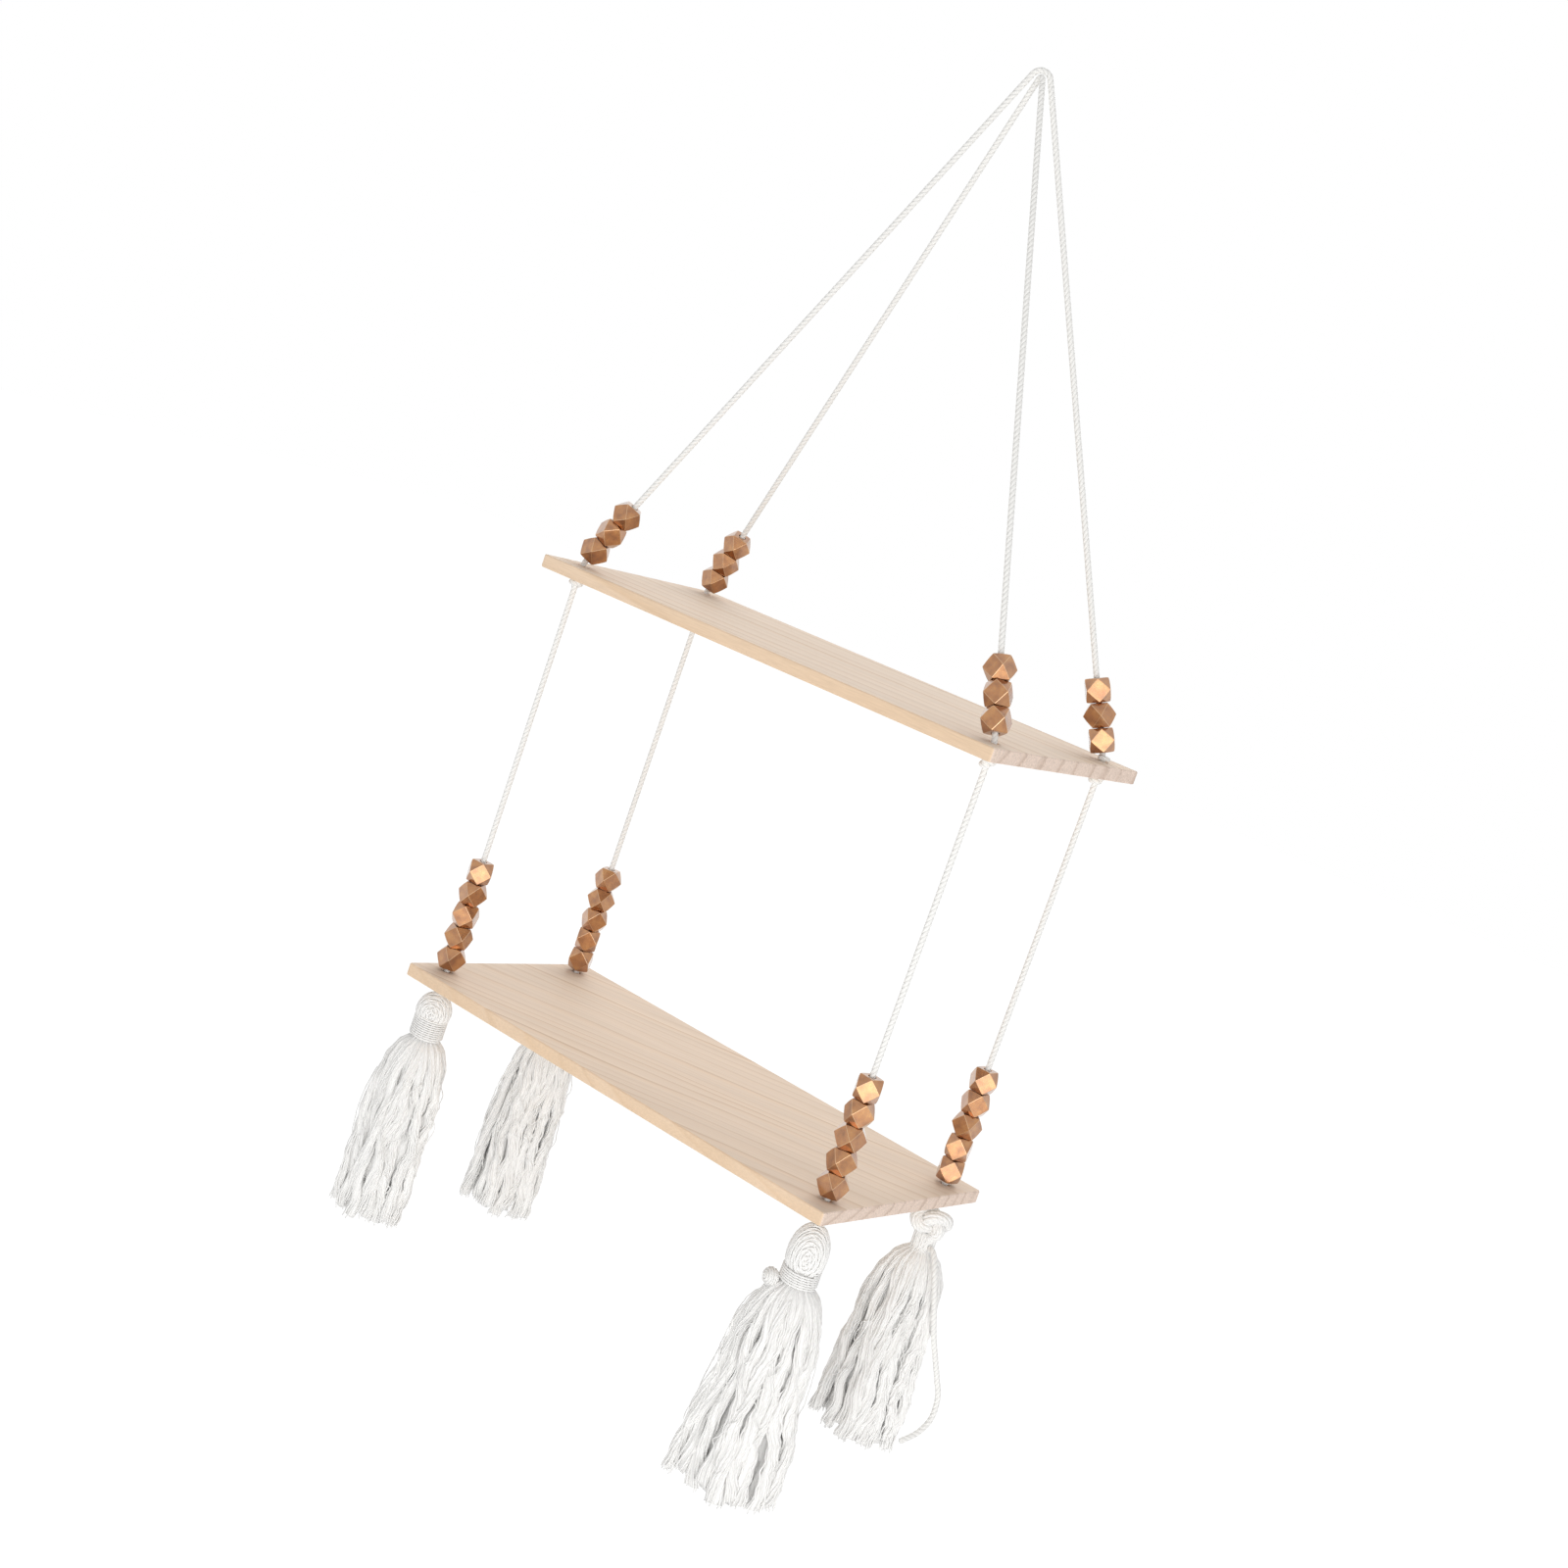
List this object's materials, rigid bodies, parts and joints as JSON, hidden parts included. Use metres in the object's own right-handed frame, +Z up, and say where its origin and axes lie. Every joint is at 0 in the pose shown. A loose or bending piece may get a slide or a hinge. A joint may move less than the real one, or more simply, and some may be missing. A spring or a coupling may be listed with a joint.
{
  "type": "hanging rope shelf",
  "caption": "Hanging shelf of pine boards carried by knotted cords with faceted beads at the holes and yarn tassels below.",
  "frame": {"origin": "The point that both cords hang from, at the centre of their bends over a hook or nail.", "axes": "+Z up, +X to the right along the boards, +Y to the back (towards the wall)."},
  "size_m": [0.4012, 0.1987, 0.8503],
  "materials": {
    "pine": "bare planed pine with a fine straight grain",
    "copper_bead": "satin copper-gold paint on turned wood",
    "white_cord": "twisted white cotton cord",
    "tassel_yarn": "soft white cotton yarn, loose and slightly kinked"
  },
  "bodies": {
    "hanging_bend": {"inner_bend": "white_cord"},
    "outer_bend": {"outer_bend": "white_cord"},
    "upper_shelf": {"upper_shelf": "pine", "upper_leg_lf": "white_cord", "upper_leg_lb": "white_cord", "upper_leg_rf": "white_cord", "upper_leg_rb": "white_cord", "upper_stop_knot_lf": "white_cord", "upper_stop_knot_lb": "white_cord", "upper_stop_knot_rf": "white_cord", "upper_stop_knot_rb": "white_cord"},
    "lower_leg_lf": {"lower_leg_lf": "white_cord"},
    "lower_leg_lb": {"lower_leg_lb": "white_cord"},
    "lower_leg_rf": {"lower_leg_rf": "white_cord"},
    "lower_leg_rb": {"lower_leg_rb": "white_cord"},
    "lower_shelf": {"lower_shelf": "pine", "lower_stop_knot_lf": "white_cord", "lower_stop_knot_lb": "white_cord", "lower_stop_knot_rf": "white_cord", "lower_stop_knot_rb": "white_cord"},
    "tassel_lf": {"tassel_lf": "tassel_yarn", "tassel_binding_lf": "tassel_yarn"},
    "tassel_lb": {"tassel_lb": "tassel_yarn", "tassel_binding_lb": "tassel_yarn"},
    "tassel_rf": {"tassel_rf": "tassel_yarn", "tassel_binding_rf": "tassel_yarn"},
    "tassel_rb": {"tassel_rb": "tassel_yarn", "loose_cord_end": "white_cord"},
    "upper_bead_lf_1": {"upper_bead_lf_1": "copper_bead"},
    "upper_bead_lf_2": {"upper_bead_lf_2": "copper_bead"},
    "upper_bead_lf_3": {"upper_bead_lf_3": "copper_bead"},
    "lower_bead_lf_1": {"lower_bead_lf_1": "copper_bead"},
    "lower_bead_lf_2": {"lower_bead_lf_2": "copper_bead"},
    "lower_bead_lf_3": {"lower_bead_lf_3": "copper_bead"},
    "lower_bead_lf_4": {"lower_bead_lf_4": "copper_bead"},
    "lower_bead_lf_5": {"lower_bead_lf_5": "copper_bead"},
    "upper_bead_lb_1": {"upper_bead_lb_1": "copper_bead"},
    "upper_bead_lb_2": {"upper_bead_lb_2": "copper_bead"},
    "upper_bead_lb_3": {"upper_bead_lb_3": "copper_bead"},
    "lower_bead_lb_1": {"lower_bead_lb_1": "copper_bead"},
    "lower_bead_lb_2": {"lower_bead_lb_2": "copper_bead"},
    "lower_bead_lb_3": {"lower_bead_lb_3": "copper_bead"},
    "lower_bead_lb_4": {"lower_bead_lb_4": "copper_bead"},
    "lower_bead_lb_5": {"lower_bead_lb_5": "copper_bead"},
    "upper_bead_rf_1": {"upper_bead_rf_1": "copper_bead"},
    "upper_bead_rf_2": {"upper_bead_rf_2": "copper_bead"},
    "upper_bead_rf_3": {"upper_bead_rf_3": "copper_bead"},
    "lower_bead_rf_1": {"lower_bead_rf_1": "copper_bead"},
    "lower_bead_rf_2": {"lower_bead_rf_2": "copper_bead"},
    "lower_bead_rf_3": {"lower_bead_rf_3": "copper_bead"},
    "lower_bead_rf_4": {"lower_bead_rf_4": "copper_bead"},
    "lower_bead_rf_5": {"lower_bead_rf_5": "copper_bead"},
    "upper_bead_rb_1": {"upper_bead_rb_1": "copper_bead"},
    "upper_bead_rb_2": {"upper_bead_rb_2": "copper_bead"},
    "upper_bead_rb_3": {"upper_bead_rb_3": "copper_bead"},
    "lower_bead_rb_1": {"lower_bead_rb_1": "copper_bead"},
    "lower_bead_rb_2": {"lower_bead_rb_2": "copper_bead"},
    "lower_bead_rb_3": {"lower_bead_rb_3": "copper_bead"},
    "lower_bead_rb_4": {"lower_bead_rb_4": "copper_bead"},
    "lower_bead_rb_5": {"lower_bead_rb_5": "copper_bead"}
  },
  "joints": [
    {"name": "side_sway", "type": "hinge", "parent": "hanging_bend", "child": "outer_bend", "pos_m": [0, 0, 0], "axis": [0, 1, 0], "range_deg": [-20, 20]},
    {"name": "front_swing", "type": "hinge", "parent": "outer_bend", "child": "upper_shelf", "pos_m": [0, 0, 0], "axis": [1, 0, 0], "range_deg": [-20, 20]},
    {"name": "lower_shelf_sway", "type": "hinge", "parent": "upper_shelf", "child": "lower_leg_lf", "pos_m": [-0.166, -0.066, -0.3853], "axis": [0, 1, 0], "range_deg": [-12, 12]},
    {"name": "tassel_swing_lf", "type": "hinge", "parent": "lower_shelf", "child": "tassel_lf", "pos_m": [-0.166, -0.066, -0.6693], "axis": [0, 1, 0], "range_deg": [-15, 15]},
    {"name": "tassel_swing_lb", "type": "hinge", "parent": "lower_shelf", "child": "tassel_lb", "pos_m": [-0.166, 0.066, -0.6693], "axis": [0, 1, 0], "range_deg": [-15, 15]},
    {"name": "tassel_swing_rf", "type": "hinge", "parent": "lower_shelf", "child": "tassel_rf", "pos_m": [0.166, -0.066, -0.6693], "axis": [0, 1, 0], "range_deg": [-15, 15]},
    {"name": "tassel_swing_rb", "type": "hinge", "parent": "lower_shelf", "child": "tassel_rb", "pos_m": [0.166, 0.066, -0.6693], "axis": [0, 1, 0], "range_deg": [-15, 15]},
    {"name": "upper_bead_slide_lf_1", "type": "slide", "parent": "upper_shelf", "child": "upper_bead_lf_1", "axis": [0.3901, 0.1551, 0.9076], "range_m": [0, 0.09]},
    {"name": "upper_bead_slide_lf_2", "type": "slide", "parent": "upper_bead_lf_1", "child": "upper_bead_lf_2", "axis": [0.3901, 0.1551, 0.9076], "range_m": [0, 0.09]},
    {"name": "upper_bead_slide_lf_3", "type": "slide", "parent": "upper_bead_lf_2", "child": "upper_bead_lf_3", "axis": [0.3901, 0.1551, 0.9076], "range_m": [0, 0.09]},
    {"name": "upper_bead_slide_lb_1", "type": "slide", "parent": "upper_shelf", "child": "upper_bead_lb_1", "axis": [0.3985, -0.1584, 0.9034], "range_m": [0, 0.09]},
    {"name": "upper_bead_slide_lb_2", "type": "slide", "parent": "upper_bead_lb_1", "child": "upper_bead_lb_2", "axis": [0.3985, -0.1584, 0.9034], "range_m": [0, 0.09]},
    {"name": "upper_bead_slide_lb_3", "type": "slide", "parent": "upper_bead_lb_2", "child": "upper_bead_lb_3", "axis": [0.3985, -0.1584, 0.9034], "range_m": [0, 0.09]},
    {"name": "upper_bead_slide_rf_1", "type": "slide", "parent": "upper_shelf", "child": "upper_bead_rf_1", "axis": [-0.3985, 0.1584, 0.9034], "range_m": [0, 0.09]},
    {"name": "upper_bead_slide_rf_2", "type": "slide", "parent": "upper_bead_rf_1", "child": "upper_bead_rf_2", "axis": [-0.3985, 0.1584, 0.9034], "range_m": [0, 0.09]},
    {"name": "upper_bead_slide_rf_3", "type": "slide", "parent": "upper_bead_rf_2", "child": "upper_bead_rf_3", "axis": [-0.3985, 0.1584, 0.9034], "range_m": [0, 0.09]},
    {"name": "upper_bead_slide_rb_1", "type": "slide", "parent": "upper_shelf", "child": "upper_bead_rb_1", "axis": [-0.3901, -0.1551, 0.9076], "range_m": [0, 0.09]},
    {"name": "upper_bead_slide_rb_2", "type": "slide", "parent": "upper_bead_rb_1", "child": "upper_bead_rb_2", "axis": [-0.3901, -0.1551, 0.9076], "range_m": [0, 0.09]},
    {"name": "upper_bead_slide_rb_3", "type": "slide", "parent": "upper_bead_rb_2", "child": "upper_bead_rb_3", "axis": [-0.3901, -0.1551, 0.9076], "range_m": [0, 0.09]},
    {"name": "lower_bead_slide_lf_1", "type": "slide", "parent": "lower_leg_lf", "child": "lower_bead_lf_1", "axis": [0, 0, 1], "range_m": [0, 0.035]},
    {"name": "lower_bead_slide_lf_2", "type": "slide", "parent": "lower_bead_lf_1", "child": "lower_bead_lf_2", "axis": [0, 0, 1], "range_m": [0, 0.035]},
    {"name": "lower_bead_slide_lf_3", "type": "slide", "parent": "lower_bead_lf_2", "child": "lower_bead_lf_3", "axis": [0, 0, 1], "range_m": [0, 0.035]},
    {"name": "lower_bead_slide_lf_4", "type": "slide", "parent": "lower_bead_lf_3", "child": "lower_bead_lf_4", "axis": [0, 0, 1], "range_m": [0, 0.035]},
    {"name": "lower_bead_slide_lf_5", "type": "slide", "parent": "lower_bead_lf_4", "child": "lower_bead_lf_5", "axis": [0, 0, 1], "range_m": [0, 0.035]},
    {"name": "lower_bead_slide_lb_1", "type": "slide", "parent": "lower_leg_lb", "child": "lower_bead_lb_1", "axis": [0, 0, 1], "range_m": [0, 0.035]},
    {"name": "lower_bead_slide_lb_2", "type": "slide", "parent": "lower_bead_lb_1", "child": "lower_bead_lb_2", "axis": [0, 0, 1], "range_m": [0, 0.035]},
    {"name": "lower_bead_slide_lb_3", "type": "slide", "parent": "lower_bead_lb_2", "child": "lower_bead_lb_3", "axis": [0, 0, 1], "range_m": [0, 0.035]},
    {"name": "lower_bead_slide_lb_4", "type": "slide", "parent": "lower_bead_lb_3", "child": "lower_bead_lb_4", "axis": [0, 0, 1], "range_m": [0, 0.035]},
    {"name": "lower_bead_slide_lb_5", "type": "slide", "parent": "lower_bead_lb_4", "child": "lower_bead_lb_5", "axis": [0, 0, 1], "range_m": [0, 0.035]},
    {"name": "lower_bead_slide_rf_1", "type": "slide", "parent": "lower_leg_rf", "child": "lower_bead_rf_1", "axis": [0, 0, 1], "range_m": [0, 0.035]},
    {"name": "lower_bead_slide_rf_2", "type": "slide", "parent": "lower_bead_rf_1", "child": "lower_bead_rf_2", "axis": [0, 0, 1], "range_m": [0, 0.035]},
    {"name": "lower_bead_slide_rf_3", "type": "slide", "parent": "lower_bead_rf_2", "child": "lower_bead_rf_3", "axis": [0, 0, 1], "range_m": [0, 0.035]},
    {"name": "lower_bead_slide_rf_4", "type": "slide", "parent": "lower_bead_rf_3", "child": "lower_bead_rf_4", "axis": [0, 0, 1], "range_m": [0, 0.035]},
    {"name": "lower_bead_slide_rf_5", "type": "slide", "parent": "lower_bead_rf_4", "child": "lower_bead_rf_5", "axis": [0, 0, 1], "range_m": [0, 0.035]},
    {"name": "lower_bead_slide_rb_1", "type": "slide", "parent": "lower_leg_rb", "child": "lower_bead_rb_1", "axis": [0, 0, 1], "range_m": [0, 0.035]},
    {"name": "lower_bead_slide_rb_2", "type": "slide", "parent": "lower_bead_rb_1", "child": "lower_bead_rb_2", "axis": [0, 0, 1], "range_m": [0, 0.035]},
    {"name": "lower_bead_slide_rb_3", "type": "slide", "parent": "lower_bead_rb_2", "child": "lower_bead_rb_3", "axis": [0, 0, 1], "range_m": [0, 0.035]},
    {"name": "lower_bead_slide_rb_4", "type": "slide", "parent": "lower_bead_rb_3", "child": "lower_bead_rb_4", "axis": [0, 0, 1], "range_m": [0, 0.035]},
    {"name": "lower_bead_slide_rb_5", "type": "slide", "parent": "lower_bead_rb_4", "child": "lower_bead_rb_5", "axis": [0, 0, 1], "range_m": [0, 0.035]},
    {"name": "lower_shelf_level", "type": "hinge", "parent": "lower_leg_lf", "child": "lower_shelf", "pos_m": [-0.166, -0.066, -0.655], "axis": [0, 1, 0], "range_deg": [-12, 12]},
    {"name": "lower_leg_sway_lb", "type": "hinge", "parent": "upper_shelf", "child": "lower_leg_lb", "pos_m": [-0.166, 0.066, -0.3853], "axis": [0, 1, 0], "range_deg": [-12, 12]},
    {"name": "lower_leg_sway_rf", "type": "hinge", "parent": "upper_shelf", "child": "lower_leg_rf", "pos_m": [0.166, -0.066, -0.3853], "axis": [0, 1, 0], "range_deg": [-12, 12]},
    {"name": "lower_leg_sway_rb", "type": "hinge", "parent": "upper_shelf", "child": "lower_leg_rb", "pos_m": [0.166, 0.066, -0.3853], "axis": [0, 1, 0], "range_deg": [-12, 12]}
  ],
  "couplings": [
    {"joint": "lower_shelf_level", "follows": "lower_shelf_sway", "ratio": -1},
    {"joint": "lower_leg_sway_lb", "follows": "lower_shelf_sway", "ratio": 1},
    {"joint": "lower_leg_sway_rf", "follows": "lower_shelf_sway", "ratio": 1},
    {"joint": "lower_leg_sway_rb", "follows": "lower_shelf_sway", "ratio": 1}
  ]
}
